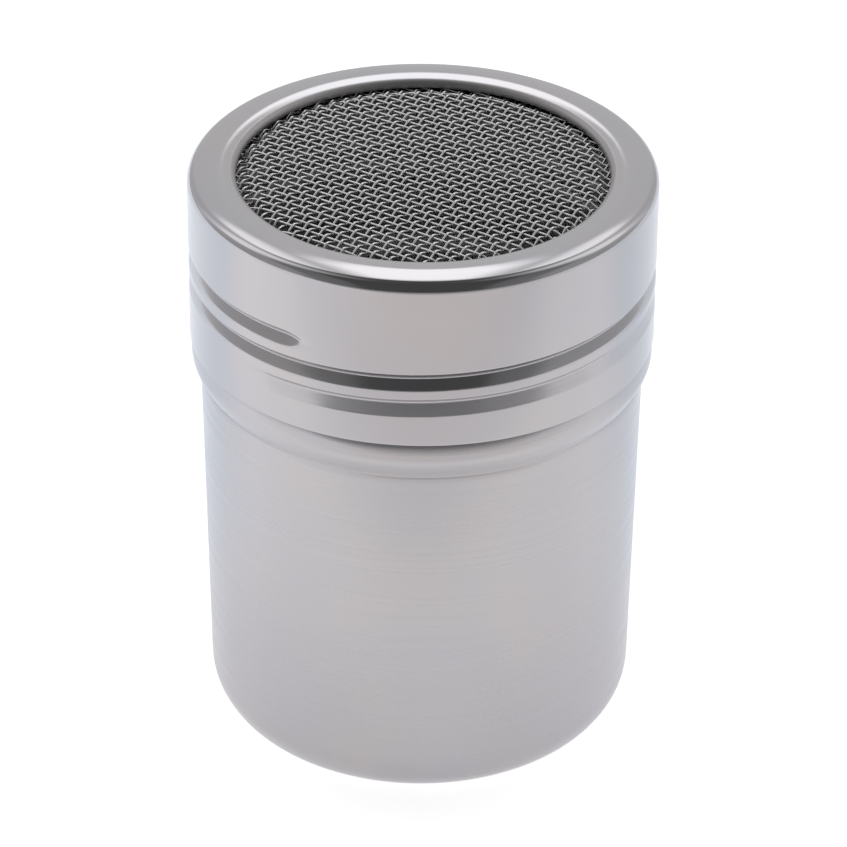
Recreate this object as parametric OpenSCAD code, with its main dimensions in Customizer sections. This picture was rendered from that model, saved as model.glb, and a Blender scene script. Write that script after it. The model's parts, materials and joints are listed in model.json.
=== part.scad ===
// Stainless-steel mesh shaker: a drawn cup, a screw lid with a rolled thread,
// and a crowned disc of woven wire that a pressed-in ring holds under the lid's rim.
// The cup stands on z = 0 with its axis on Z. The front faces -Y. Millimetres.

/* [Cup] */
// Height from the base to the start of the collar's flare
cup_wall_h = 55.2; // [40:0.1:90]
// How far the top of the wall lies inside the collar
wall_inset = 1.25; // [0.8:0.05:2]
// How much smaller the wall's radius is at its foot than at its top
wall_taper = 0.95; // [0:0.05:2]
// Outer radius of the rounded corner between base and wall
base_corner_r = 7.6; // [3:0.1:12]
// Height of the flare from the wall out to the collar's widest line
collar_flare_h = 2.5; // [1.5:0.1:4]
// Height from the collar's widest line, over its gentle roll inwards, to the lid's foot
collar_roll_h = 3.25; // [2.5:0.05:5]
// How far the collar lies inside the lid's outer face at its widest line
collar_inset = 0.2; // [0:0.05:0.3]

/* [Lid] */
// Outer diameter of the lid
lid_d = 64.8; // [56:0.1:90]
// Height of the lid from its foot to the crown of its rim
lid_h = 25.0; // [22:0.1:32]
// Width of the rim from the lid's outer face to the opening over the mesh
rim_w = 6.7; // [5.4:0.1:10]
// Outer radius of the corner between the rim and the skirt
rim_corner_r = 1.5; // [1:0.1:2]
// Rise of the rim's gentle crown over its two edges
rim_crown = 0.15; // [0.05:0.01:0.25]
// Radius of the fold from the rim down into the lip
lip_fold_r = 0.8; // [0.55:0.05:0.9]
// Depth of the turned-down lip around the opening
lip_depth = 1.25; // [1.2:0.05:2.4]

/* [Thread] */
// Rise of the thread in one turn
thread_pitch = 3.85; // [3.7:0.05:6]
// Turns of rolled groove in the lid
thread_turns = 2.06; // [1.2:0.01:2.4]
// Depth of the groove rolled into the lid
thread_depth = 1.0; // [0.8:0.05:1.1]
// Width of the groove at the lid's outer face
thread_w = 2.5; // [2.4:0.05:2.6]
// Height of the groove's middle above the lid's foot, halfway along the thread at the front
thread_mid_h = 9.85; // [8:0.05:12]
// Share of a turn over which the groove's upper end runs out
run_out_top = 0.03; // [0.03:0.01:0.2]
// Share of a turn over which the groove's lower end runs out
run_out_bottom = 0.4; // [0.05:0.01:0.5]

/* [Mesh] */
// Number of warp wires across the disc
warp_count = 42; // [30:1:44]
// Number of weft wires across the disc
weft_count = 35; // [30:1:44]
// Diameter of one wire
wire_d = 0.3; // [0.26:0.02:0.42]
// Share of a crossing's height that the crimp of the warp wire takes
warp_crimp = 0.75; // [0.5:0.05:0.8]
// Angle from +X to the warp wires
weave_turn = 56; // [0:1:90]
// Rise of the disc's middle over the edge of its flat part
mesh_crown = 0.35; // [0.3:0.05:0.7]
// Depth of the wires' tops at the middle under the crown of the rim
mesh_recess = 0.35; // [0.1:0.05:0.5]
// Width of the step where the disc turns down to its clamped edge
mesh_step_w = 1.6; // [1.4:0.1:4]

/* [Sheet and clearances] */
// Thickness of the drawn sheet
sheet = 0.5; // [0.4:0.05:0.55]
// Gap between the collar's roll and the inside of the lid's foot when the lid is tight
foot_gap = 0.17; // [0.1:0.01:0.3]
// Gap between the neck and the lid's inner wall
neck_gap = 0.5; // [0.4:0.05:0.6]
// Gap between the lid's thread ridge and the flanks and bottom of the neck's groove
thread_gap = 0.35; // [0.25:0.05:0.45]
// Gap between the cup's rim and the retaining ring above it
rim_gap = 0.4; // [0.2:0.05:0.8]
// Gap between two crossing wires
wire_gap = 0.08; // [0.06:0.01:0.12]
// Gap over and under the clamped edge of the mesh
clamp_gap = 0.11; // [0.08:0.01:0.2]
// Gap between the retaining ring and the lid's inner wall
ring_gap = 0.1; // [0.06:0.01:0.2]
// How far the mesh reaches past the lip's outer face under the rim
mesh_overlap = 1.5; // [0.8:0.1:2]

/* [Hidden] */
$fn = 96;
steel = [0.74, 0.74, 0.75];
wire_steel = [0.66, 0.65, 0.66];
front = -90;                        // direction of the front, as an angle from +X
arc_steps = 8;                      // straight facets in a quarter of a rounded corner
steps_per_turn = 48;                // rings in one turn of a thread

// Heights
collar_z = cup_wall_h + collar_flare_h;
foot_z = collar_z + collar_roll_h;
lid_top_z = foot_z + lid_h;
lip_z = lid_top_z - lip_depth;

// Radii
lid_r = lid_d / 2;
lid_in_r = lid_r - sheet;
opening_r = lid_r - rim_w;
neck_r = lid_in_r - neck_gap;
collar_r = lid_r - collar_inset;
wall_top_r = collar_r - wall_inset;
wall_foot_r = wall_top_r - wall_taper;

// Collar: how far its roll has come in at the lid's foot, and the roll's radius
collar_drop = sheet + foot_gap - collar_inset;
collar_crown_r = (pow(collar_roll_h, 2) + pow(collar_drop, 2)) / (2 * collar_drop);

// Wires: half the height of the weave, and where its disc lies
cross_rise = wire_d + wire_gap;
weave_half = cross_rise * max(warp_crimp, 1 - warp_crimp) + wire_d / 2;
clamp_z = lip_z - clamp_gap - weave_half;
mesh_top_z = lid_top_z - mesh_recess - weave_half;
disc_r = opening_r + sheet + mesh_overlap;
step_end_r = opening_r - mesh_recess;
step_start_r = step_end_r - mesh_step_w;
step_drop = mesh_top_z - mesh_crown - clamp_z;
warp_pitch = 2 * disc_r / warp_count;
weft_pitch = 2 * disc_r / weft_count;
cross_half = 0.8 * wire_d;          // half the straight length of a wire over a crossing
wire_tail = 1.2 * wire_d;           // length of a wire past the middle of its last crossing
slope_room = 0.72;                  // extra rise of a crossing on a slope, as a share of wire_d
warp_half = ceil(warp_count / 2);
weft_half = ceil(weft_count / 2);
weft_first_side = weft_count % 2 == 0 ? 1 : -1;

// Retaining ring
web_top_z = clamp_z - weave_half - clamp_gap;
web_z = web_top_z - sheet;
ring_r = lid_in_r - ring_gap;
ring_top_z = lid_top_z - rim_crown - rim_corner_r - ring_gap;
rim_z = web_z - rim_gap;

// Thread: turns are counted from the front, where the groove's middle is at thread_mid_h
thread_z = foot_z + thread_mid_h;
turn_top = 0.92;
turn_bottom = turn_top - thread_turns;
groove_floor_half = thread_w / 2 - 0.85 * thread_depth;
ridge_base_half = thread_w / 2 + 0.4 * sheet;
ridge_tip_half = groove_floor_half + 0.6 * sheet;
ridge_tip_r = lid_in_r - thread_depth;
neck_groove_r = ridge_tip_r - thread_gap;
neck_floor_half = ridge_tip_half + 0.6 * thread_gap;
neck_mouth_half = ridge_base_half + 0.2 * thread_gap;
neck_ridge_tip_half = neck_floor_half + 0.6 * sheet;
neck_ridge_base_half = min(neck_mouth_half + sheet / 2, 0.48 * thread_pitch);
neck_turn_top = (rim_z + 2 * thread_pitch - thread_z) / thread_pitch;
neck_turn_bottom = turn_bottom - 0.1;
past_face = 0.3;                    // how far a cutting or joining shape reaches through a face

function two_digits(k) = k < 10 ? str("0", k) : str(k);
function warp_name(k) = str("warp_wires_", two_digits(k));
function weft_name(k) = str("weft_wires_", two_digits(k));

// Points of an arc about c from angle a to angle b, as [radius, height]
function arc(c, r, a, b, n = arc_steps) =
    [for (i = [0:n]) c + r * [cos(a + (b - a) * i / n), sin(a + (b - a) * i / n)]];

function flip(path) = [for (i = [len(path) - 1:-1:0]) path[i]];

// ---- Cup -------------------------------------------------------------------

// The cup's half section from the axis to the rim, moved inwards by t
function cup_path(t) =
    let (c = [collar_r - collar_crown_r, collar_z], r = collar_crown_r - t)
    concat(
        [[0, t]],
        arc([wall_foot_r - base_corner_r, base_corner_r], base_corner_r - t, -90, 0),
        [[wall_top_r - t, cup_wall_h]],
        arc(c, r, 0, acos((neck_r - t - c[0]) / r)),
        [[neck_r - t, rim_z]]
    );

module cup_shell() {
    rotate_extrude() polygon(concat(cup_path(0), flip(cup_path(sheet))));
}

// ---- Thread ----------------------------------------------------------------

// Share of the full depth at a turn, between 0 at the ends and 1
function run_out(t, t0, t1, share0, share1) =
    let (s = min(1, (t - t0) / share0, (t1 - t) / share1))
    sin(90 * max(0, s));

// One four-cornered section of a thread at turn t, from its mouth to its floor
function thread_ring(t, mouth_r, mouth_half, floor_r, floor_half, share) =
    let (
        a = front + 360 * t,
        z = thread_z + thread_pitch * t,
        r = mouth_r + (floor_r - mouth_r) * (0.06 + 0.94 * share),
        w = mouth_half + (floor_half - mouth_half) * (0.06 + 0.94 * share)
    )
    [for (p = [[mouth_r, mouth_half], [r, w], [r, -w], [mouth_r, -mouth_half]])
        [p[0] * cos(a), p[0] * sin(a), z + p[1]]];

// A solid swept along the thread. A share of a turn of 0 leaves that end blunt.
module thread(t0, t1, mouth_r, mouth_half, floor_r, floor_half, share0, share1) {
    n = ceil((t1 - t0) * steps_per_turn);
    rings = [for (i = [0:n])
        let (t = t0 + (t1 - t0) * i / n)
        thread_ring(t, mouth_r, mouth_half, floor_r, floor_half, run_out(t, t0, t1, share0, share1))];
    inward = floor_r < mouth_r;
    sides = [for (i = [0:n - 1], j = [0:3])
        let (a = 4 * i + j, b = 4 * i + (j + 1) % 4, c = a + 4, d = b + 4)
        each [[a, b, d], [a, d, c]]];
    ends = [[0, 2, 1], [0, 3, 2], [4 * n, 4 * n + 1, 4 * n + 2], [4 * n, 4 * n + 2, 4 * n + 3]];
    faces = concat(sides, ends);
    polyhedron(
        points = [for (ring = rings) each ring],
        faces = inward ? faces : [for (f = faces) [f[0], f[2], f[1]]]
    );
}

// ---- Nodes -----------------------------------------------------------------

module cup_body() {
    slope = (neck_mouth_half - neck_floor_half) / (neck_r - neck_groove_r);
    color(steel)
    intersection() {
        difference() {
            union() {
                cup_shell();
                thread(neck_turn_bottom, neck_turn_top, neck_r - sheet / 2, neck_ridge_base_half,
                    neck_groove_r - sheet, neck_ridge_tip_half, run_out_bottom, run_out_top);
            }
            thread(neck_turn_bottom, neck_turn_top, neck_r + past_face, neck_mouth_half + slope * past_face,
                neck_groove_r, neck_floor_half, run_out_bottom, run_out_top);
        }
        cylinder(r = lid_r + 1, h = rim_z);
    }
}

// The lid's half section from its foot to the lip, moved inwards by t
function lid_path(t) =
    let (
        crown_in = opening_r + lip_fold_r,
        crown_out = lid_r - rim_corner_r,
        crown_w = crown_out - crown_in
    )
    concat(
        [[lid_r - t, foot_z]],
        arc([crown_out, lid_top_z - rim_crown - rim_corner_r], rim_corner_r - t, 0, 90),
        [for (i = [1:7]) [crown_out - crown_w * i / 8, lid_top_z - t - rim_crown * pow(i / 4 - 1, 2)]],
        arc([crown_in, lid_top_z - rim_crown - lip_fold_r], lip_fold_r - t, 90, 180, 5),
        [[opening_r + t, lip_z]]
    );

module lid_shell() {
    slope = (thread_w / 2 - groove_floor_half) / thread_depth;
    color(steel)
    difference() {
        union() {
            rotate_extrude() polygon(concat(lid_path(0), flip(lid_path(sheet))));
            thread(turn_bottom, turn_top, lid_r - sheet / 2, ridge_base_half + sheet / 2,
                ridge_tip_r, ridge_tip_half, run_out_bottom, run_out_top);
        }
        thread(turn_bottom, turn_top, lid_r + past_face, thread_w / 2 + slope * past_face,
            lid_r - thread_depth, groove_floor_half, run_out_bottom, run_out_top);
    }
}

module mesh_retaining_ring() {
    web_in_r = opening_r + sheet / 2;
    color(steel)
    rotate_extrude() polygon([
        [web_in_r, web_z],
        [ring_r, web_z],
        [ring_r, ring_top_z],
        [ring_r - sheet, ring_top_z],
        [ring_r - sheet, web_top_z],
        [web_in_r, web_top_z]
    ]);
}

// Height of the disc's middle surface at a distance from the axis
function disc_z(rho) =
    let (u = max(0, min(1, (rho - step_start_r) / mesh_step_w)))
    mesh_top_z - mesh_crown * pow(min(rho, step_start_r) / step_start_r, 2) - step_drop * u * u * (3 - 2 * u);

// Steepness of the disc at a distance from the axis
function disc_slope(rho) =
    let (u = max(0, min(1, (rho - step_start_r) / mesh_step_w)))
    step_drop * 6 * u * (1 - u) / mesh_step_w;

// Height between the middles of the two wires of a crossing
function crossing_rise(rho) = cross_rise + slope_room * wire_d * disc_slope(rho);

// One crimped wire along X at a sideways offset. It crosses others at every cross_pitch.
// side is 1 where it goes over the first of them, and -1 where it goes under.
// crimp is its share of the rise.
module crimped_wire(offset, cross_count, cross_pitch, side, crimp) {
    crossings = [for (j = [0:cross_count - 1])
        let (s = (j - (cross_count - 1) / 2) * cross_pitch)
        if (norm([s, offset]) <= disc_r - cross_half) [s, side * (j % 2 == 0 ? 1 : -1)]];
    last = len(crossings) - 1;
    reaches = [for (i = [0:last]) [
        i == 0 ? -wire_tail : -cross_half,
        i == last ? wire_tail : cross_half
    ]];
    middle = [for (i = [0:last], e = reaches[i])
        let (
            s = crossings[i][0],
            lift = crossings[i][1] * crimp * crossing_rise(norm([s, offset]))
        )
        [s + e, disc_z(norm([s + e, offset])) + lift]];
    upper = [for (p = middle) p + [0, wire_d / 2]];
    lower = [for (p = middle) p - [0, wire_d / 2]];
    translate([0, offset, 0])
    rotate([90, 0, 0])
    linear_extrude(wire_d, center = true)
    polygon(concat(lower, flip(upper)));
}

// The two wires that lie k places from the middle of a set, or its one middle wire
module wire_pair(k, count, pitch, cross_count, cross_pitch, first_side, crimp) {
    upper = floor(count / 2) + k - 1;
    lower = count - 1 - upper;
    color(wire_steel)
    for (i = upper == lower ? [upper] : [lower, upper]) {
        side = first_side * (i % 2 == 0 ? 1 : -1);
        crimped_wire((i - (count - 1) / 2) * pitch, cross_count, cross_pitch, side, crimp);
    }
}

module warp_pair(k) {
    rotate(weave_turn)
    wire_pair(k, warp_count, warp_pitch, weft_count, weft_pitch, 1, warp_crimp);
}

module weft_pair(k) {
    rotate(weave_turn + 90)
    wire_pair(k, weft_count, weft_pitch, warp_count, warp_pitch, weft_first_side, 1 - warp_crimp);
}

cup_body();
lid_shell();
mesh_retaining_ring();
for (k = [1:warp_half]) warp_pair(k);
for (k = [1:weft_half]) weft_pair(k);
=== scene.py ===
"""A stainless-steel shaker: a drawn cup, a lid with a rolled thread, and a crowned disc of woven wire."""

import json
import math

import bmesh
import bpy
from mathutils import Matrix, Vector


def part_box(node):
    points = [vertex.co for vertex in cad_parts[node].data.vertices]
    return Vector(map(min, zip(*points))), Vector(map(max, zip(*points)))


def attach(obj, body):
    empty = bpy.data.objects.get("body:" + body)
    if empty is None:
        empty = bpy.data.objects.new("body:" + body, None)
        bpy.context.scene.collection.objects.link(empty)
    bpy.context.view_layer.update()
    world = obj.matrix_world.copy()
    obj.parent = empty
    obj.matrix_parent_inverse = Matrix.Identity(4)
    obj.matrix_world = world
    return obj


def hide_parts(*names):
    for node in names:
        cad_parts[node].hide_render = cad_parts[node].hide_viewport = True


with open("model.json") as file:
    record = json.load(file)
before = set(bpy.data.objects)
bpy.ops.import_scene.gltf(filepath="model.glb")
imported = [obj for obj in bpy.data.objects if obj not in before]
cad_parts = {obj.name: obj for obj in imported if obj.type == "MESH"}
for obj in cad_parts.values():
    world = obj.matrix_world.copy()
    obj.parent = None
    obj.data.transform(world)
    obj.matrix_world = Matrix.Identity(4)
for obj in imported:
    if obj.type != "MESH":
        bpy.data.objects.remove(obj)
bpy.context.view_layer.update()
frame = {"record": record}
MM = 0.001

# ---- Sizes, in millimetres -------------------------------------------------
# The overall sizes come from the frame, and the rest are those of the drawn parts. Heights end in _z, radii
# in _r and widths in _w.

cup_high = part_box("cup_body")[1] / MM
lid_low, lid_high = (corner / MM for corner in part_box("lid_shell"))
ring_low, ring_high = (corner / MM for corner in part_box("mesh_retaining_ring"))
lift_per_radian = frame["record"]["behaviour"]["couplings"][0]["ratio"]

sheet = 0.5                         # thickness of the drawn sheet
edge_r = 0.12                       # rounding of a trimmed sheet edge

lid_r = lid_high.x
foot_z = lid_low.z
top_z = lid_high.z
rim_w = 6.7                         # from the lid's outer face to the opening
opening_r = lid_r - rim_w
rim_corner_r = 1.5                  # rounding from the skirt to the rim
lip_fold_r = 0.8                    # rounding from the rim down into the opening
crown_r = 16.0                      # the rim's gentle crown
crown_shift = 0.25                  # how much nearer to the opening the crown's highest line lies
lip_depth = 1.25                    # how far the lip reaches down inside the opening
lip_z = top_z - lip_depth

collar_r = cup_high.x
collar_roll_h = 3.25                # from the collar's widest line up to the lid's foot
collar_z = foot_z - collar_roll_h
collar_round_r = 3.0                # rounding of that line
collar_flare_h = 2.5                # over which the wall flares out to it
flare_half_turn = 13.5              # degrees, a little over half the angle by which the flare turns upright
flare_inner_r = 0.6                 # rounding inside, where the flare starts
foot_gap = 0.17                     # between the collar's roll and the inside of the lid's foot
wall_z = collar_z - collar_flare_h  # lower end of the flare, where a fine crease runs
wall_inset = 1.25                   # how far the wall stands in from the collar
wall_taper = 0.95                   # how much the wall draws in on its way down
wall_top_r = collar_r - wall_inset
wall_foot_r = wall_top_r - wall_taper
base_corner_r = 7.6
crease_depth = 0.05
crease_w = 0.22
neck_gap = 0.5                      # between the lid's inside and the neck
neck_r = lid_r - sheet - neck_gap
rim_z = cup_high.z                  # top of the neck

thread_pitch = lift_per_radian * 2 * math.pi / MM
thread_mid_h = 9.85                 # from the foot to the groove's middle on its second pass, at the front
thread_z = foot_z + thread_mid_h
thread_turns = 2.06
turn_top = 0.92                     # turns are counted from the front, upwards
turn_bottom = turn_top - thread_turns
neck_turn_top = (rim_z + 2 * thread_pitch - thread_z) / thread_pitch    # past the neck's rim
neck_lead = 0.1                     # share of a turn by which the neck's groove starts lower than the lid's
neck_turn_bottom = turn_bottom - neck_lead
groove_top = 1.28                   # the lid's groove reaches this far above its middle line
groove_bottom = -1.5
groove_round = 0.18                 # where the two sides of the lid's groove meet
upper_slope = 0.85                  # of the groove's upper side
lower_slope = 0.5                   # of its lower side, once that has left the skirt
lower_start = 0.3                   # over which the lower side leaves the skirt
lower_bend = 0.05                   # how much the lower side steepens
flat_slope = 0.27                   # of the lower side where the groove isn't fully formed
neck_groove_depth = 0.85
neck_groove_half_w = 1.65
neck_groove_drop = 0.05             # of its middle below the lid's
neck_groove_flank = 0.6
run_out_top = 0.018                 # share of a turn over which the upper end runs out
run_out_bottom = 0.07
formed_from = 0.35                  # turns above its lower end from which the lid's groove is pressed deeper
formed_over = 0.3                   # turns over which that comes in
front = -math.pi / 2                # direction of the front, as an angle from +X

warp_count = 42
weft_count = 35
wire_d = 0.3
wire_gap = 0.01                     # between two crossing wires
weave_turn = math.radians(56)
mesh_overlap = 1.5                  # how far the mesh reaches under the rim
mesh_crown = 0.35                   # how much the middle of the mesh stands proud of its edge
mesh_recess = 0.35                  # from the rim's top down to the mesh
mesh_step_w = 1.6                   # over which the mesh steps down to its clamped edge
cad_wire_gap = 0.08                 # between two crossing wires of the solids
clamp_gap = 0.11                    # between the lip and the clamped wires
cad_warp_crimp = 0.75               # share of a crossing's height that the warp's crimp takes in the solids
warp_crimp = 0.95                   # the same share here, which leaves the weft almost straight
bend_sharpness = 0.85               # 0 gives a wire that waves like a sine, and 1 one with straight legs
steep_lift = 0.6                    # extra crimp on a slope, in wire diameters
steps_per_crossing = 8
cross_half = 0.8 * wire_d           # room that a crossing needs inside the disc's edge
wire_tail = 1.2 * wire_d            # how far a wire runs past its last crossing

join_distance = 0.001               # two vertices nearer than this are one
lid_steps, cup_steps, ring_steps = 240, 192, 128    # round the axis


# ---- Shapes ----------------------------------------------------------------

def arc(centre, radius, start, end, most=math.radians(6)):
    """Points of an arc about a [radius, height] centre, with a point at least every so many degrees."""
    steps = max(2, math.ceil(abs(end - start) / most))
    angles = [start + (end - start) * i / steps for i in range(steps + 1)]
    return [Vector((centre[0] + radius * math.cos(a), centre[1] + radius * math.sin(a))) for a in angles]


def soften(corners):
    """A closed outline from corners of [radius, height, rounding]; a corner with no rounding stays sharp."""
    outline = []
    for i, (r, z, rounding) in enumerate(corners):
        here = Vector((r, z))
        if not rounding:
            outline.append(here)
            continue
        back = (Vector(corners[i - 1][:2]) - here).normalized()
        on = (Vector(corners[(i + 1) % len(corners)][:2]) - here).normalized()
        half = back.angle(on) / 2
        centre = here + (back + on).normalized() * rounding / math.sin(half)
        first = here + back * rounding / math.tan(half) - centre
        last = here + on * rounding / math.tan(half) - centre
        start = math.atan2(first.y, first.x)
        sweep = (math.atan2(last.y, last.x) - start + math.pi) % (2 * math.pi) - math.pi
        outline += arc(centre, rounding, start, start + sweep, math.radians(6 if rounding > 1 else 15))
    return outline


def refine(outline, step, fine_step, is_fine):
    """The outline with its long edges cut into steps, and into finer ones where is_fine says so of an edge's
    middle. Short edges keep the smooth shading true next to a tight corner."""
    made = []
    for a, b in zip(outline, outline[1:] + outline[:1]):
        steps = math.ceil((b - a).length / step)
        for i in range(steps):
            c, d = a.lerp(b, i / steps), a.lerp(b, (i + 1) / steps)
            more = math.ceil((d - c).length / fine_step) if is_fine((c + d) / 2) else 1
            made += [c.lerp(d, k / more) for k in range(more)]
    return made


def lathe(name, outline, steps, shape=None):
    """A closed shell spun about the Z axis from an outline in millimetres. shape may move its vertices."""
    bm = bmesh.new()
    verts = [bm.verts.new((p.x, 0, p.y)) for p in outline]
    edges = [bm.edges.new(pair) for pair in zip(verts, verts[1:] + verts[:1])]
    bmesh.ops.spin(
        bm, geom=verts + edges, cent=(0, 0, 0), axis=(0, 0, 1), dvec=(0, 0, 0),
        angle=2 * math.pi, steps=steps, use_merge=True, use_duplicate=False,
    )
    bmesh.ops.remove_doubles(bm, verts=bm.verts, dist=join_distance)
    bmesh.ops.recalc_face_normals(bm, faces=bm.faces)
    if shape:
        shape(bm)
    bmesh.ops.scale(bm, vec=(MM, MM, MM), verts=bm.verts)
    return finish_piece(name, bm)


def finish_piece(name, bm, smooth=True):
    """Makes the mesh an object at the origin, shaded smooth unless it is flat."""
    mesh = bpy.data.meshes.new(name)
    bm.to_mesh(mesh)
    bm.free()
    mesh.polygons.foreach_set("use_smooth", [smooth] * len(mesh.polygons))
    piece = bpy.data.objects.new(name, mesh)
    bpy.context.scene.collection.objects.link(piece)
    return piece


def ease(x):
    """0 below 0, 1 above 1, and a smooth rise between."""
    x = min(1, max(0, x))
    return x * x * (3 - 2 * x)


def thread_depth_at(angle, z, low_turn, high_turn, section):
    """How deep a helical groove is at a point of the wall: the deepest of its passes there. section gives its
    depth at a height above its middle line, where it is formed by some share."""
    turn = ((angle - front) / (2 * math.pi)) % 1
    deepest = 0
    for lap in range(math.floor(low_turn) - 1, math.ceil(high_turn) + 1):
        t = turn + lap
        if not low_turn < t < high_turn:
            continue
        low_share = math.sin(math.pi / 2 * min(1, (t - low_turn) / run_out_bottom))
        formed = ease((t - low_turn - formed_from) / formed_over)
        high_share = math.sin(math.pi / 2 * min(1, (high_turn - t) / run_out_top))
        width = math.sqrt(high_share)
        depth = low_share * high_share * section(
            (z - thread_z - thread_pitch * t) / max(width, 0.01), formed
        )
        deepest = max(deepest, depth)
    return deepest


def press_thread(bm, low_z, high_z, nearest_r, low_turn, high_turn, section):
    """Presses a helical groove into the walls that stand between two heights, outside a radius."""
    for v in bm.verts:
        r = math.hypot(v.co.x, v.co.y)
        if low_z < v.co.z < high_z and r > nearest_r:
            depth = thread_depth_at(math.atan2(v.co.y, v.co.x), v.co.z, low_turn, high_turn, section)
            v.co.x *= (r - depth) / r
            v.co.y *= (r - depth) / r


# ---- Lid -------------------------------------------------------------------

def lid_groove(dz, formed):
    """The lid's rolled groove: a crisp upper edge, a straight upper side, and a lower side that eases back
    out to the skirt. The two sides meet in a small round. Where the groove isn't fully formed, the lower side
    is a shallow flat."""
    if not groove_bottom < dz < groove_top:
        return 0
    above = upper_slope * (groove_top - dz)
    up = dz - groove_bottom
    left = up - lower_start * (1 - math.exp(-up / lower_start))
    hollow = lower_slope * left + lower_bend * up ** 2
    below = formed * hollow + (1 - formed) * flat_slope * up
    blend = max(0, groove_round - abs(above - below)) / groove_round
    return min(above, below) - groove_round * blend * blend / 4


def lid_outline():
    """Half of the lid's section, from the foot's inside round the rim and the lip and back."""
    crown_mid = (opening_r + lip_fold_r + lid_r - rim_corner_r) / 2 - crown_shift
    crown_c = Vector((crown_mid, top_z - crown_r))
    corner = Vector((lid_r - rim_corner_r, 0))
    corner.y = crown_c.y + math.sqrt((crown_r - rim_corner_r) ** 2 - (corner.x - crown_mid) ** 2)
    fold = Vector((opening_r + lip_fold_r, 0))
    fold.y = crown_c.y + math.sqrt((crown_r - lip_fold_r) ** 2 - (fold.x - crown_mid) ** 2)
    outer_angle = math.atan2(corner.y - crown_c.y, corner.x - crown_mid)
    inner_angle = math.atan2(fold.y - crown_c.y, fold.x - crown_mid)

    def skin(t):
        return (
            arc(corner, rim_corner_r - t, 0, outer_angle, math.radians(3))
            + arc(crown_c, crown_r - t, outer_angle, inner_angle, math.radians(0.8))[1:]
            + arc(fold, lip_fold_r - t, inner_angle, math.pi, math.radians(6))[1:]
        )

    foot_top, lip_top = foot_z + 2, lip_z + 0.2
    foot = soften([
        (lid_r - sheet, foot_top, 0),
        (lid_r - sheet, foot_z, edge_r),
        (lid_r, foot_z, edge_r),
        (lid_r, foot_top, 0),
    ])
    lip = soften([
        (opening_r, lip_top, 0),
        (opening_r, lip_z, edge_r),
        (opening_r + sheet, lip_z, edge_r),
        (opening_r + sheet, lip_top, 0),
    ])
    return foot + skin(0) + lip + skin(sheet)[::-1]


def make_lid():
    """The skirt's outer face is cut finely where the groove runs, so that the groove's edges stay crisp."""
    skirt_low, skirt_high, skirt_inside = foot_z + 1, top_z - 4, lid_r - 1
    fine_low, fine_high = foot_z + 2.5, foot_z + 16

    def shape(bm):
        press_thread(bm, skirt_low, skirt_high, skirt_inside, turn_bottom, turn_top, lid_groove)

    def is_fine(p):
        return p.x > lid_r - sheet / 2 and fine_low < p.y < fine_high

    outline = refine(lid_outline(), step=0.35, fine_step=0.1, is_fine=is_fine)
    lid = lathe("rolled_lid", outline, lid_steps, shape)
    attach(lid, "lid")
    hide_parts("lid_shell")
    return lid


# ---- Cup -------------------------------------------------------------------

def neck_groove(dz, formed):
    """The neck's rolled groove, wide enough for the lid's ridge to run in. It is fully formed all along."""
    return neck_groove_depth * ease((neck_groove_half_w - abs(dz + neck_groove_drop)) / neck_groove_flank)


def cup_outline():
    """Half of the cup's section, from the middle of the base up the outside, over the neck's rim and back
    down inside. The collar's roll is one arc, which starts just past the rounding of its widest line and ends
    at the neck."""
    roll_z = collar_z + collar_round_r * math.tan(math.radians(flare_half_turn))
    roll_h = foot_z - roll_z
    drop = sheet + foot_gap - (lid_r - collar_r)
    roll_r = (roll_h ** 2 + drop ** 2) / (2 * drop)
    roll_c = (collar_r - roll_r, roll_z)

    def roll(t):
        end = math.acos((neck_r - t - roll_c[0]) / (roll_r - t))
        return arc(roll_c, roll_r - t, 0, end, math.radians(2))

    outer = soften([
        (0, 0, 0),
        (wall_foot_r, 0, base_corner_r),
        (wall_top_r, wall_z - crease_w, 0),
        (wall_top_r - crease_depth, wall_z - crease_w / 2, 0),
        (wall_top_r, wall_z, 0),
        (collar_r, collar_z, collar_round_r),
        (collar_r, roll_z, 0),
    ])
    below_rim = rim_z - 0.5
    rim = soften([
        (neck_r, below_rim, 0),
        (neck_r, rim_z, edge_r),
        (neck_r - sheet, rim_z, edge_r),
        (neck_r - sheet, below_rim, 0),
    ])
    inner = soften([
        (collar_r - sheet, roll_z, 0),
        (collar_r - sheet, collar_z, collar_round_r - sheet),
        (wall_top_r - sheet, wall_z, flare_inner_r),
        (wall_foot_r - sheet, sheet, base_corner_r - sheet),
        (0, sheet, 0),
    ])
    return outer + roll(0)[1:] + rim + roll(sheet)[:0:-1] + inner


def make_cup():
    """The neck is cut more finely than the wall, for its groove."""
    neck_low, neck_high, neck_inside = foot_z + 1.5, rim_z + 1, neck_r - 1

    def shape(bm):
        press_thread(bm, neck_low, neck_high, neck_inside, neck_turn_bottom, neck_turn_top, neck_groove)

    def is_fine(p):
        return p.y > foot_z

    outline = refine(cup_outline(), step=1.0, fine_step=0.25, is_fine=is_fine)
    cup = lathe("drawn_cup", outline, cup_steps, shape)
    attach(cup, "cup")
    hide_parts("cup_body")
    return cup


# ---- Retaining ring --------------------------------------------------------

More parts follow.
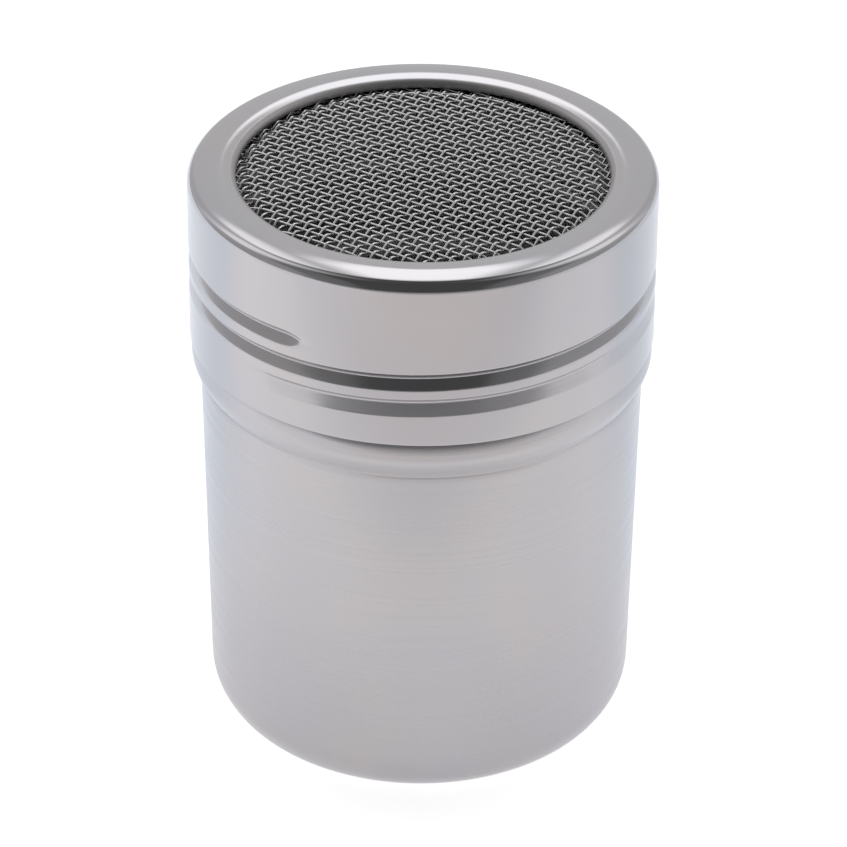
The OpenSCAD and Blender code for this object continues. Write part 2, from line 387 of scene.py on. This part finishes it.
def make_ring():
    """An angle-section ring: an upright wall against the skirt, and a web that presses the mesh up."""
    web_top_z = ring_low.z + sheet
    web_r = opening_r + sheet / 2
    outer_bend_r, inner_bend_r = 0.3, 0.15
    outline = soften([
        (web_r, ring_low.z, edge_r),
        (ring_high.x, ring_low.z, outer_bend_r),
        (ring_high.x, ring_high.z, edge_r),
        (ring_high.x - sheet, ring_high.z, edge_r),
        (ring_high.x - sheet, web_top_z, inner_bend_r),
        (web_r, web_top_z, edge_r),
    ])
    outline = refine(outline, step=0.5, fine_step=0.5, is_fine=lambda p: False)
    ring = lathe("pressed_ring", outline, ring_steps)
    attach(ring, "lid_carrier")
    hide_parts("mesh_retaining_ring")
    return ring


# ---- Woven wire ------------------------------------------------------------

disc_r = opening_r + sheet + mesh_overlap
weave_half = (wire_d + cad_wire_gap) * cad_warp_crimp + wire_d / 2
clamp_z = lip_z - clamp_gap - weave_half
mesh_top_z = top_z - mesh_recess - weave_half
step_start_r = opening_r - mesh_recess - mesh_step_w
step_drop = mesh_top_z - mesh_crown - clamp_z


def disc_height(rho):
    """Height of the mesh's middle at a radius: a gentle crown that steps down to the clamped edge."""
    crown = mesh_crown * (min(rho, step_start_r) / step_start_r) ** 2
    return mesh_top_z - crown - step_drop * ease((rho - step_start_r) / mesh_step_w)


def disc_slope(rho):
    """How steeply the step falls at a radius."""
    u = min(1, max(0, (rho - step_start_r) / mesh_step_w))
    return step_drop * 6 * u * (1 - u) / mesh_step_w


def wire_path(offset, cross_count, cross_pitch, side, crimp):
    """Points along a wire that weaves over and under the wires it crosses, before the disc is turned. crimp
    is its own share of the height that the two wires of a crossing need."""
    crossings = [(j - (cross_count - 1) / 2) * cross_pitch for j in range(cross_count)]
    kept = [j for j, s in enumerate(crossings) if math.hypot(s, offset) <= disc_r - cross_half]
    start = crossings[kept[0]] - wire_tail
    end = crossings[kept[-1]] + wire_tail
    steps = round((end - start) / cross_pitch * steps_per_crossing)
    points = []
    for i in range(steps + 1):
        s = start + (end - start) * i / steps
        rho = math.hypot(s, offset)
        wave = math.asin(bend_sharpness * math.cos(math.pi * (s - crossings[0]) / cross_pitch))
        wave /= math.asin(bend_sharpness)
        height = (wire_d + wire_gap + steep_lift * wire_d * disc_slope(rho)) * crimp
        points.append((s, offset, disc_height(rho) + side * wave * height))
    return points


def make_wire(name, paths, turn):
    """Round wires along some paths in millimetres, turned about the Z axis, as one mesh."""
    curve = bpy.data.curves.new(name, "CURVE")
    curve.dimensions = "3D"
    curve.bevel_depth = wire_d / 2 * MM
    curve.bevel_resolution = 2
    curve.use_fill_caps = True
    place = Matrix.Rotation(turn, 4, "Z") @ Matrix.Scale(MM, 4)
    for path in paths:
        spline = curve.splines.new("POLY")
        spline.points.add(len(path) - 1)
        for point, co in zip(spline.points, path):
            point.co = (*(place @ Vector(co)), 1)
    drawn = bpy.data.objects.new(name, curve)
    bpy.context.scene.collection.objects.link(drawn)
    mesh = bpy.data.meshes.new_from_object(drawn)
    bpy.data.objects.remove(drawn)
    bm = bmesh.new()
    bm.from_mesh(mesh)
    bmesh.ops.remove_doubles(bm, verts=bm.verts, dist=join_distance * MM)
    bmesh.ops.recalc_face_normals(bm, faces=bm.faces)
    bpy.data.meshes.remove(mesh)
    return finish_piece(name, bm)


def make_wires(kind, count, cross_count, turn, first_side, crimp):
    """The wires of one direction, in mirrored pairs from the middle outwards."""
    pitch = 2 * disc_r / count
    cross_pitch = 2 * disc_r / cross_count
    made = []
    for k in range(1, math.ceil(count / 2) + 1):
        upper = count // 2 + k - 1
        paths = []
        for i in sorted({count - 1 - upper, upper}):
            side = first_side if i % 2 == 0 else -first_side
            paths.append(wire_path((i - (count - 1) / 2) * pitch, cross_count, cross_pitch, side, crimp))
        wires = make_wire(f"round_{kind}_{k:02d}", paths, turn)
        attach(wires, "lid")
        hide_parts(f"{kind}_wires_{k:02d}")
        made.append(wires)
    return made


# ---- Materials -------------------------------------------------------------
# Pattern sizes and depths are in millimetres.

noise_span = (0.3, 0.7)             # where most of a noise pattern's values lie
wire_rough = (0.28, 0.38)           # from the bright to the duller stretches
stretch_size = 0.7                  # of a bright or duller stretch of wire
die_mark_depth = 0.006
inside_rough = 0.6                  # the inside keeps the matt of the pickled sheet
# The inside faces' paler colour is painted light in the shaded inside.
inside_painted_light_hex = "#dddbdb"
inward_span = (-0.02, -0.015)       # of a face's normal times its place, in metres: lower looks inwards
line_wear = (0.8, 1.2)              # share of the roughness, from the brightest to the dullest line
line_length = 60                    # over which a turned line stays the same
drift_size = 16                     # between a warmer and a cooler patch
wave_size = 9                       # from wave to wave in the drawn sheet


def linear(hex_colour):
    """An sRGB hex colour as linear RGBA."""
    parts = [int(hex_colour[i:i + 2], 16) / 255 for i in (1, 3, 5)]
    return (*(c / 12.92 if c <= 0.04045 else ((c + 0.055) / 1.055) ** 2.4 for c in parts), 1)


def add_node(tree, kind, inputs=None, **settings):
    """Adds a node with its settings, and feeds its inputs from numbers, colours or other nodes' sockets."""
    made = tree.nodes.new(kind)
    for name, value in settings.items():
        setattr(made, name, value)
    for name, value in (inputs or {}).items():
        if isinstance(value, bpy.types.NodeSocket):
            tree.links.new(value, made.inputs[name])
        else:
            made.inputs[name].default_value = value
    return made


def new_surface(name):
    """An empty material to build on."""
    material = bpy.data.materials.new(name)
    material.use_nodes = True
    material.node_tree.nodes.clear()
    return material


def steel_surface(material, tone, roughness, normal):
    """Bare metal: its tone is what it mirrors, and its roughness how sharply it does."""
    tree = material.node_tree
    shader = add_node(
        tree, "ShaderNodeBsdfPrincipled",
        {"Base Color": tone, "Metallic": 1.0, "Roughness": roughness, "Normal": normal},
    )
    add_node(tree, "ShaderNodeOutputMaterial", {"Surface": shader.outputs[0]})
    return material


def turned_steel(name, warm_hex, cool_hex, line_mm, line_depth_mm, wave_depth_mm, finishes, bare=None):
    """Stainless steel turned against a fine abrasive: faint lines run round the axis, shallow waves from the
    drawing bend what it mirrors, and the tone drifts a little between warm and cool grey. Faces that look
    towards the axis keep the matt of the pickled sheet, and their paler colour is painted light in the shaded
    inside. finishes are two (height, roughness) pairs, and the roughness runs evenly from one to the other.
    bare is for an inner edge that the polishing wheel doesn't reach: the radii between which the polish sets
    in, the bare metal's roughness, and the darker tone that the edge takes towards the opening."""
    material = new_surface(name)
    tree = material.node_tree
    coordinates = add_node(tree, "ShaderNodeTexCoord")
    place = coordinates.outputs["Object"]
    axes = add_node(tree, "ShaderNodeSeparateXYZ", {0: place})
    level = add_node(tree, "ShaderNodeCombineXYZ", {"X": axes.outputs["X"], "Y": axes.outputs["Y"]})
    radius = add_node(tree, "ShaderNodeVectorMath", {0: level.outputs[0]}, operation="LENGTH")
    across = add_node(
        tree, "ShaderNodeMath", {0: axes.outputs["Z"], 1: radius.outputs["Value"]}, operation="SUBTRACT"
    )
    round_axis = add_node(
        tree, "ShaderNodeCombineXYZ",
        {"X": axes.outputs["X"], "Y": axes.outputs["Y"], "Z": across.outputs[0]},
    )
    along = 1 / (line_length * MM)
    line_place = add_node(
        tree, "ShaderNodeMapping",
        {"Vector": round_axis.outputs[0], "Scale": (along, along, 1 / (line_mm * MM))},
    )
    lines = add_node(
        tree, "ShaderNodeTexNoise",
        {"Vector": line_place.outputs[0], "Scale": 1.0, "Detail": 2.0, "Roughness": 0.6},
    )
    drift = add_node(
        tree, "ShaderNodeTexNoise",
        {"Vector": place, "Scale": 1 / (drift_size * MM), "Detail": 2.0, "Roughness": 0.5},
    )
    tone = add_node(
        tree, "ShaderNodeMix",
        {"Factor": drift.outputs["Fac"], 6: linear(warm_hex), 7: linear(cool_hex)}, data_type="RGBA",
    )
    outwards = add_node(
        tree, "ShaderNodeVectorMath", {0: coordinates.outputs["Normal"], 1: level.outputs[0]},
        operation="DOT_PRODUCT",
    )
    outside = add_node(
        tree, "ShaderNodeMapRange",
        {"Value": outwards.outputs["Value"], "From Min": inward_span[0], "From Max": inward_span[1]},
    )
    (low_z, low_rough), (high_z, high_rough) = finishes
    finish = add_node(
        tree, "ShaderNodeMapRange",
        {
            "Value": axes.outputs["Z"], "From Min": low_z * MM, "From Max": high_z * MM,
            "To Min": low_rough, "To Max": high_rough,
        },
    )
    worn = add_node(
        tree, "ShaderNodeMapRange",
        {
            "Value": lines.outputs["Fac"], "From Min": noise_span[0], "From Max": noise_span[1],
            "To Min": line_wear[0], "To Max": line_wear[1],
        },
    )
    used = add_node(
        tree, "ShaderNodeMath", {0: finish.outputs["Result"], 1: worn.outputs["Result"]}, operation="MULTIPLY"
    )
    rough = add_node(
        tree, "ShaderNodeMix", {0: outside.outputs["Result"], 2: inside_rough, 3: used.outputs[0]}
    ).outputs[0]
    # Faces that look towards the axis take the paler inside colour, which is painted light.
    colour = add_node(
        tree, "ShaderNodeMix",
        {"Factor": outside.outputs["Result"], 6: linear(inside_painted_light_hex), 7: tone.outputs[2]}, data_type="RGBA",
    ).outputs[2]
    if bare:
        polish_from, polish_to, bare_rough, edge_dark_hex = bare
        polished = add_node(
            tree, "ShaderNodeMapRange",
            {"Value": radius.outputs["Value"], "From Min": polish_from * MM, "From Max": polish_to * MM},
            interpolation_type="SMOOTHSTEP",
        ).outputs["Result"]
        rough = add_node(tree, "ShaderNodeMix", {0: polished, 2: bare_rough, 3: rough}).outputs[0]
        # The edge's tone is darker towards the opening.
        colour = add_node(
            tree, "ShaderNodeMix", {"Factor": polished, 6: linear(edge_dark_hex), 7: colour}, data_type="RGBA"
        ).outputs[2]
    waves = add_node(
        tree, "ShaderNodeTexNoise",
        {"Vector": place, "Scale": 1 / (wave_size * MM), "Detail": 1.0, "Roughness": 0.5},
    )
    bent = add_node(
        tree, "ShaderNodeBump",
        {"Height": waves.outputs["Fac"], "Strength": 1.0, "Distance": wave_depth_mm * MM},
    )
    relief = add_node(
        tree, "ShaderNodeBump",
        {
            "Height": lines.outputs["Fac"], "Strength": 1.0, "Distance": line_depth_mm * MM,
            "Normal": bent.outputs["Normal"],
        },
    )
    return steel_surface(material, colour, rough, relief.outputs["Normal"])


def drawn_wire(name, painted_light_bright_hex, painted_light_dull_hex):
    """Stainless wire pulled through a die: bright along its back, with short duller stretches. Its near-white
    colour, paler than the sheet's steel, is painted light.
    """
    material = new_surface(name)
    tree = material.node_tree
    place = add_node(tree, "ShaderNodeTexCoord").outputs["Object"]
    stretches = add_node(
        tree, "ShaderNodeTexNoise",
        {"Vector": place, "Scale": 1 / (stretch_size * MM), "Detail": 3.0, "Roughness": 0.6},
    )
    tone = add_node(
        tree, "ShaderNodeMix",
        {"Factor": stretches.outputs["Fac"], 6: linear(painted_light_bright_hex), 7: linear(painted_light_dull_hex)}, data_type="RGBA",
    )
    rough = add_node(
        tree, "ShaderNodeMapRange",
        {
            "Value": stretches.outputs["Fac"], "From Min": noise_span[0], "From Max": noise_span[1],
            "To Min": wire_rough[0], "To Max": wire_rough[1],
        },
    )
    relief = add_node(
        tree, "ShaderNodeBump",
        {"Height": stretches.outputs["Fac"], "Strength": 1.0, "Distance": die_mark_depth * MM},
    )
    return steel_surface(material, tone.outputs[2], rough.outputs["Result"], relief.outputs["Normal"])


# ---- Studio ----------------------------------------------------------------
# Distances are in metres. X runs to the right and Y away from the camera. Levels and tones are linear.

camera_lens = 197.25
camera_shift = 0.0027
camera_elevation = 31.55            # degrees by which the camera looks down
camera_distance = 0.6572
camera_aim_z = 0.04466
camera_roll = 0.0079                # radians

table_r = 4.0
floor_glow = 0.8
painted_pool_tones = [                     # painted pool of light and shade that the steel mirrors, at each Y
    (-0.55, (0.1, 0.1, 0.1)), (-0.4, (0.22, 0.22, 0.22)), (-0.27, (0.56, 0.53, 0.51)),
    (-0.17, (0.785, 0.72, 0.685)), (-0.14, (0.7, 0.66, 0.655)), (-0.115, (0.75, 0.74, 0.76)),
    (-0.08, (0.94, 0.92, 0.91)), (-0.01, (0.97, 0.96, 0.98)), (0.02, (0.84, 0.87, 0.93)),
    (0.05, (0.74, 0.81, 0.9)), (0.09, (0.8, 0.86, 0.93)),
]
tones_from, tones_to = -0.6, 0.2    # the Y between which those tones are set out
strip_x = 0.045                     # the painted dark reflection in front is a strip a little right of the middle
strip_half = 0.15                   # half the strip's width
strip_edge = 0.06                   # over which each of its sides softens, either way
strip_end = (0.01, 0.06)            # the Y over which the strip opens to the whole table behind
painted_side_tone = (0.8, 0.8, 0.82)        # painted light beside the strip
far_from = 0.28                     # from where in front the strip widens
spread = 2.2                        # how fast it widens
strip_turn = 0.35                   # share of that by which it turns to the right
# Painted light: what the steel mirrors of the table is brighter on the left than on the right.
painted_left_level, painted_right_level = 1.12, 0.91
level_reach = 0.2                   # how far to each side those two levels are reached
contact_shade = 0.82                # how bright the table still is right beside the base
contact_reach = 0.08                # from the axis to where that shade ends

softbox_elevation = 40
softbox_aim_z = 0.08
softbox_w = 0.3
softbox_radiance = 1.75

# The room's levels run from straight ahead or overhead, at 0, to the far sides, at 1. Heights are in degrees
# above the horizon behind the shaker.
front_levels = [(0, 0.09), (0.44, 0.1), (0.52, 0.2), (0.74, 0.24), (0.84, 0.42), (1, 0.46)]
top_levels = [(0, 0.1), (0.15, 0.13), (0.3, 0.5), (0.48, 1.15), (0.75, 1.3), (0.86, 0.55), (1, 0.5)]
wall_levels = [(0, 0.74), (0.3, 0.72), (0.5, 0.62), (0.75, 0.66), (1, 0.8)]
overhead_y = (-0.1, 0.3)            # where the front gives way to the room overhead
wall_y = (0.3, 0.7)                 # and that to the wall
wall_top = (46, 58)                 # heights between which the wall ends
middle_pane = [(0, 1), (0.7, 1), (1, 0.5), (1.4, 0)]    # the window's middle, in shares of its half width
pane_half = (0.01, 0.065)           # that half width, low and high
pane_widens = (29.6, 38)            # heights between which it goes from one to the other
side_pane = [(0.09, 0), (0.13, 0.6), (0.175, 0.75), (0.21, 0.3), (0.27, 0)]     # the panes beside the middle
side_low = (34.5, 37.5)             # heights over which the side panes come in
glow_low = (28.5, 31)               # and the whole window
glow_high = (46, 52)                # heights over which it ends
glow_level = 1.75


def make_camera():
    """The camera looks down at the shaker from in front, almost level."""
    data = bpy.data.cameras.new("camera")
    data.sensor_width = 36
    data.lens = camera_lens
    data.shift_x = camera_shift
    camera = bpy.data.objects.new("camera", data)
    elevation = math.radians(camera_elevation)
    turn = Matrix.Rotation(math.pi / 2 - elevation, 4, "X") @ Matrix.Rotation(camera_roll, 4, "Z")
    place = Vector((
        0, -camera_distance * math.cos(elevation), camera_aim_z + camera_distance * math.sin(elevation)
    ))
    camera.matrix_world = Matrix.Translation(place) @ turn
    bpy.context.scene.collection.objects.link(camera)
    bpy.context.scene.camera = camera


def make_floor():
    """A white table top. What the steel mirrors of it is painted light and shade: it dims towards the dark
    room in front, along a strip that widens away from the shaker, is a little brighter on the left, and
    darker right beside the base. The table keeps the shaker's shadow."""
    bm = bmesh.new()
    bmesh.ops.create_circle(bm, cap_ends=True, radius=table_r, segments=64)
    floor = finish_piece("floor", bm, smooth=False)
    material = new_surface("white_table_laminate")
    tree = material.node_tree
    rays = add_node(tree, "ShaderNodeLightPath")
    mirrored = add_node(
        tree, "ShaderNodeMath",
        {0: rays.outputs["Is Glossy Ray"], 1: rays.outputs["Is Transmission Ray"]}, operation="MAXIMUM",
    )
    place = add_node(tree, "ShaderNodeTexCoord").outputs["Object"]
    axes = add_node(tree, "ShaderNodeSeparateXYZ", {0: place})
    reach = add_node(
        tree, "ShaderNodeMapRange",
        {
            "Value": axes.outputs["Y"], "From Min": tones_from, "From Max": tones_to,
            "To Min": 0.0, "To Max": 1.0,
        },
    )
    # Painted pool of light that the steel mirrors: it dims towards the front and has a cool tint behind.
    pool = add_node(tree, "ShaderNodeValToRGB", {"Fac": reach.outputs["Result"]})
    set_stops(pool, [((y - tones_from) / (tones_to - tones_from), colour) for y, colour in painted_pool_tones])
    beyond = add_node(
        tree, "ShaderNodeMapRange",
        {
            "Value": axes.outputs["Y"], "From Min": -table_r, "From Max": -far_from,
            "To Min": table_r * spread, "To Max": 0.0,
        },
    )
    turned = add_node(
        tree, "ShaderNodeMath", {0: beyond.outputs["Result"], 1: strip_turn, 2: strip_x},
        operation="MULTIPLY_ADD",
    )
    shifted = add_node(
        tree, "ShaderNodeMath", {0: axes.outputs["X"], 1: turned.outputs[0]}, operation="SUBTRACT"
    )
    sideways = add_node(tree, "ShaderNodeMath", {0: shifted.outputs[0]}, operation="ABSOLUTE")
    narrower = add_node(
        tree, "ShaderNodeMath", {0: sideways.outputs[0], 1: beyond.outputs["Result"]}, operation="SUBTRACT"
    )
    behind = add_node(
        tree, "ShaderNodeMapRange",
        {"Value": axes.outputs["Y"], "From Min": strip_end[0], "From Max": strip_end[1]},
    )
    kept = add_node(
        tree, "ShaderNodeMath", {0: narrower.outputs[0], 1: behind.outputs["Result"]}, operation="SUBTRACT"
    )
    beside = add_node(
        tree, "ShaderNodeMapRange",
        {"Value": kept.outputs[0], "From Min": strip_half - strip_edge, "From Max": strip_half + strip_edge},
        interpolation_type="SMOOTHSTEP",
    )
    # Painted reflection of the dark room in front: a dark strip, with painted light beside it.
    strip = add_node(
        tree, "ShaderNodeMix",
        {"Factor": beside.outputs["Result"], 6: pool.outputs["Color"], 7: (*painted_side_tone, 1)}, data_type="RGBA",
        blend_type="LIGHTEN",
    )
    # Painted light, brighter on the left.
    drift = add_node(
        tree, "ShaderNodeMapRange",
        {
            "Value": axes.outputs["X"], "From Min": -level_reach, "From Max": level_reach,
            "To Min": painted_left_level, "To Max": painted_right_level,
        },
    )
    uneven = add_node(
        tree, "ShaderNodeVectorMath", {0: strip.outputs[2], 1: drift.outputs["Result"]}, operation="MULTIPLY"
    )
    distance = add_node(tree, "ShaderNodeVectorMath", {0: place}, operation="LENGTH")
    contact = add_node(
        tree, "ShaderNodeMapRange",
        {
            "Value": distance.outputs["Value"], "From Min": wall_foot_r * MM, "From Max": contact_reach,
            "To Min": contact_shade, "To Max": 1.0,
        },
    )
    shaded = add_node(
        tree, "ShaderNodeVectorMath", {0: uneven.outputs[0], 1: contact.outputs["Result"]},
        operation="MULTIPLY",
    )
    tint = add_node(
        tree, "ShaderNodeMix",
        {"Factor": mirrored.outputs[0], 6: (1, 1, 1, 1), 7: shaded.outputs[0]}, data_type="RGBA",
    )
    seen = add_node(
        tree, "ShaderNodeMath",
        {0: rays.outputs["Is Camera Ray"], 1: mirrored.outputs[0]}, operation="MAXIMUM",
    )
    glow = add_node(tree, "ShaderNodeMath", {0: seen.outputs[0], 1: floor_glow}, operation="MULTIPLY")
    shader = add_node(
        tree, "ShaderNodeBsdfPrincipled",
        {
            "Base Color": linear("#e6e6e6"), "Roughness": 0.8, "Specular IOR Level": 0.0,
            "Emission Color": tint.outputs[2], "Emission Strength": glow.outputs[0],
        },
    )
    add_node(tree, "ShaderNodeOutputMaterial", {"Surface": shader.outputs[0]})
    floor.data.materials.append(material)


def set_stops(ramp, stops):
    """Gives a colour ramp its stops, as pairs of place and linear colour."""
    made = ramp.color_ramp.elements
    while len(made) < len(stops):
        made.new(1)
    for stop, (place, colour) in zip(made, stops):
        stop.position = place
        stop.color = (*colour, 1)


def set_grey_stops(ramp, stops):
    """The same for stops of grey, as pairs of place and level."""
    set_stops(ramp, [(place, (level,) * 3) for place, level in stops])


def make_softbox():
    """A round softbox, behind and above at a metre. It lights what is matt, and the steel mirrors the room's
    window in its place."""
    elevation = math.radians(softbox_elevation)
    away = Vector((0, math.cos(elevation), math.sin(elevation)))
    data = bpy.data.lights.new("softbox", "AREA")
    data.shape = "DISK"
    data.size = softbox_w
    data.energy = softbox_radiance * math.pi * math.pi / 4 * softbox_w ** 2
    softbox = bpy.data.objects.new("softbox", data)
    place = Vector((0, 0, softbox_aim_z)) + away
    softbox.matrix_world = Matrix.Translation(place) @ away.to_track_quat("Z", "Y").to_matrix().to_4x4()
    softbox.visible_glossy = False
    bpy.context.scene.collection.objects.link(softbox)


def make_room():
    """The room: a pale wall behind with a bright window, pale sides, and a dark strip overhead and in front,
    which gives the steel its dark lines."""
    world = bpy.data.worlds.new("studio")
    world.use_nodes = True
    tree = world.node_tree
    tree.nodes.clear()
    axes = add_node(
        tree, "ShaderNodeSeparateXYZ", {0: add_node(tree, "ShaderNodeTexCoord").outputs["Generated"]}
    )
    sideways = add_node(tree, "ShaderNodeMath", {0: axes.outputs["X"]}, operation="ABSOLUTE")
    front_strip = add_node(tree, "ShaderNodeValToRGB", {"Fac": sideways.outputs[0]})
    set_grey_stops(front_strip, front_levels)
    top_strip = add_node(tree, "ShaderNodeValToRGB", {"Fac": sideways.outputs[0]})
    set_grey_stops(top_strip, top_levels)
    backness = add_node(
        tree, "ShaderNodeMapRange",
        {"Value": axes.outputs["Y"], "From Min": overhead_y[0], "From Max": overhead_y[1]},
        interpolation_type="SMOOTHSTEP",
    )
    strips = add_node(
        tree, "ShaderNodeMix",
        {
            "Factor": backness.outputs["Result"], 6: front_strip.outputs["Color"],
            7: top_strip.outputs["Color"],
        },
        data_type="RGBA",
    )
    tilt = add_node(
        tree, "ShaderNodeMath", {0: axes.outputs["Z"], 1: axes.outputs["Y"]}, operation="ARCTAN2"
    )
    low = add_node(
        tree, "ShaderNodeMapRange",
        {
            "Value": tilt.outputs[0], "From Min": math.radians(wall_top[0]),
            "From Max": math.radians(wall_top[1]), "To Min": 1.0, "To Max": 0.0,
        },
        interpolation_type="SMOOTHSTEP",
    )
    behind = add_node(
        tree, "ShaderNodeMapRange",
        {"Value": axes.outputs["Y"], "From Min": wall_y[0], "From Max": wall_y[1]},
        interpolation_type="SMOOTHSTEP",
    )
    wall = add_node(
        tree, "ShaderNodeMath", {0: low.outputs["Result"], 1: behind.outputs["Result"]}, operation="MULTIPLY"
    )
    wall_strip = add_node(tree, "ShaderNodeValToRGB", {"Fac": sideways.outputs[0]})
    set_grey_stops(wall_strip, wall_levels)
    room = add_node(
        tree, "ShaderNodeMix",
        {"Factor": wall.outputs[0], 6: strips.outputs[2], 7: wall_strip.outputs["Color"]},
        data_type="RGBA",
    )
    half = add_node(
        tree, "ShaderNodeMapRange",
        {
            "Value": tilt.outputs[0], "From Min": math.radians(pane_widens[0]),
            "From Max": math.radians(pane_widens[1]), "To Min": pane_half[0], "To Max": pane_half[1],
        },
    )
    across = add_node(
        tree, "ShaderNodeMath", {0: sideways.outputs[0], 1: half.outputs["Result"]}, operation="DIVIDE"
    )
    scaled = add_node(tree, "ShaderNodeMath", {0: across.outputs[0], 1: 0.5}, operation="MULTIPLY")
    middle = add_node(tree, "ShaderNodeValToRGB", {"Fac": scaled.outputs[0]})
    set_grey_stops(middle, [(place / 2, level) for place, level in middle_pane])
    sides = add_node(tree, "ShaderNodeValToRGB", {"Fac": sideways.outputs[0]})
    set_grey_stops(sides, side_pane)
    side_above = add_node(
        tree, "ShaderNodeMapRange",
        {
            "Value": tilt.outputs[0], "From Min": math.radians(side_low[0]),
            "From Max": math.radians(side_low[1]),
        },
        interpolation_type="SMOOTHSTEP",
    )
    side_lit = add_node(
        tree, "ShaderNodeMath", {0: sides.outputs["Color"], 1: side_above.outputs["Result"]},
        operation="MULTIPLY",
    )
    panes = add_node(
        tree, "ShaderNodeMath", {0: middle.outputs["Color"], 1: side_lit.outputs[0]}, operation="MAXIMUM"
    )
    above = add_node(
        tree, "ShaderNodeMapRange",
        {
            "Value": tilt.outputs[0], "From Min": math.radians(glow_low[0]),
            "From Max": math.radians(glow_low[1]),
        },
        interpolation_type="SMOOTHSTEP",
    )
    below = add_node(
        tree, "ShaderNodeMapRange",
        {
            "Value": tilt.outputs[0], "From Min": math.radians(glow_high[0]),
            "From Max": math.radians(glow_high[1]), "To Min": 1.0, "To Max": 0.0,
        },
        interpolation_type="SMOOTHSTEP",
    )
    upright = add_node(
        tree, "ShaderNodeMath", {0: above.outputs["Result"], 1: below.outputs["Result"]}, operation="MULTIPLY"
    )
    patch = add_node(
        tree, "ShaderNodeMath", {0: upright.outputs[0], 1: panes.outputs[0]}, operation="MULTIPLY"
    )
    lit = add_node(
        tree, "ShaderNodeMix",
        {"Factor": patch.outputs[0], 6: room.outputs[2], 7: (glow_level, glow_level, glow_level, 1)},
        data_type="RGBA",
    )
    shader = add_node(tree, "ShaderNodeBackground", {"Color": lit.outputs[2], "Strength": 1.0})
    add_node(tree, "ShaderNodeOutputWorld", {"Surface": shader.outputs[0]})
    bpy.context.scene.world = world


# ---- The object ------------------------------------------------------------

make_camera()
cup = make_cup()
lid = make_lid()
ring = make_ring()
warp = make_wires("warp", warp_count, weft_count, weave_turn, 1, warp_crimp)
weft_side = 1 if weft_count % 2 == 0 else -1
weft = make_wires(
    "weft", weft_count, warp_count, weave_turn + math.pi / 2, weft_side, 1 - warp_crimp
)

cup_steel = turned_steel(
    "satin_drawn_stainless_steel", "#bfbbbb", "#b8b8be",
    line_mm=0.3, line_depth_mm=0.0008, wave_depth_mm=0.02, finishes=[(0, 0.24), (1, 0.24)],
)
skirt_finish, rim_finish = (top_z - 1.5, 0.17), (top_z - 0.5, 0.07)
# A rougher edge by the opening, whose tone is darker towards it.
bare_and_darker_lip = (opening_r + 0.5, opening_r + 1.1, 0.5, "#b4b2b2")
lid_steel = turned_steel(
    "polished_drawn_stainless_steel", "#bfbbbb", "#b8b8be",
    line_mm=0.3, line_depth_mm=0.0003, wave_depth_mm=0.012,
    finishes=[skirt_finish, rim_finish], bare=bare_and_darker_lip,
)
ring_steel = turned_steel(
    "pressed_stainless_steel", "#b6b4b5", "#afafb4",
    line_mm=0.4, line_depth_mm=0.001, wave_depth_mm=0.02, finishes=[(0, 0.3), (1, 0.3)],
)
# The wire's near-white colours are painted light on the mesh.
wire_steel = drawn_wire("drawn_stainless_wire", "#fffefe", "#f8f6f7")
for piece, steel in [(cup, cup_steel), (lid, lid_steel), (ring, ring_steel)]:
    piece.data.materials.append(steel)
for piece in warp + weft:
    piece.data.materials.append(wire_steel)

make_floor()
make_softbox()
make_room()
bpy.context.scene.view_settings.view_transform = "Standard"
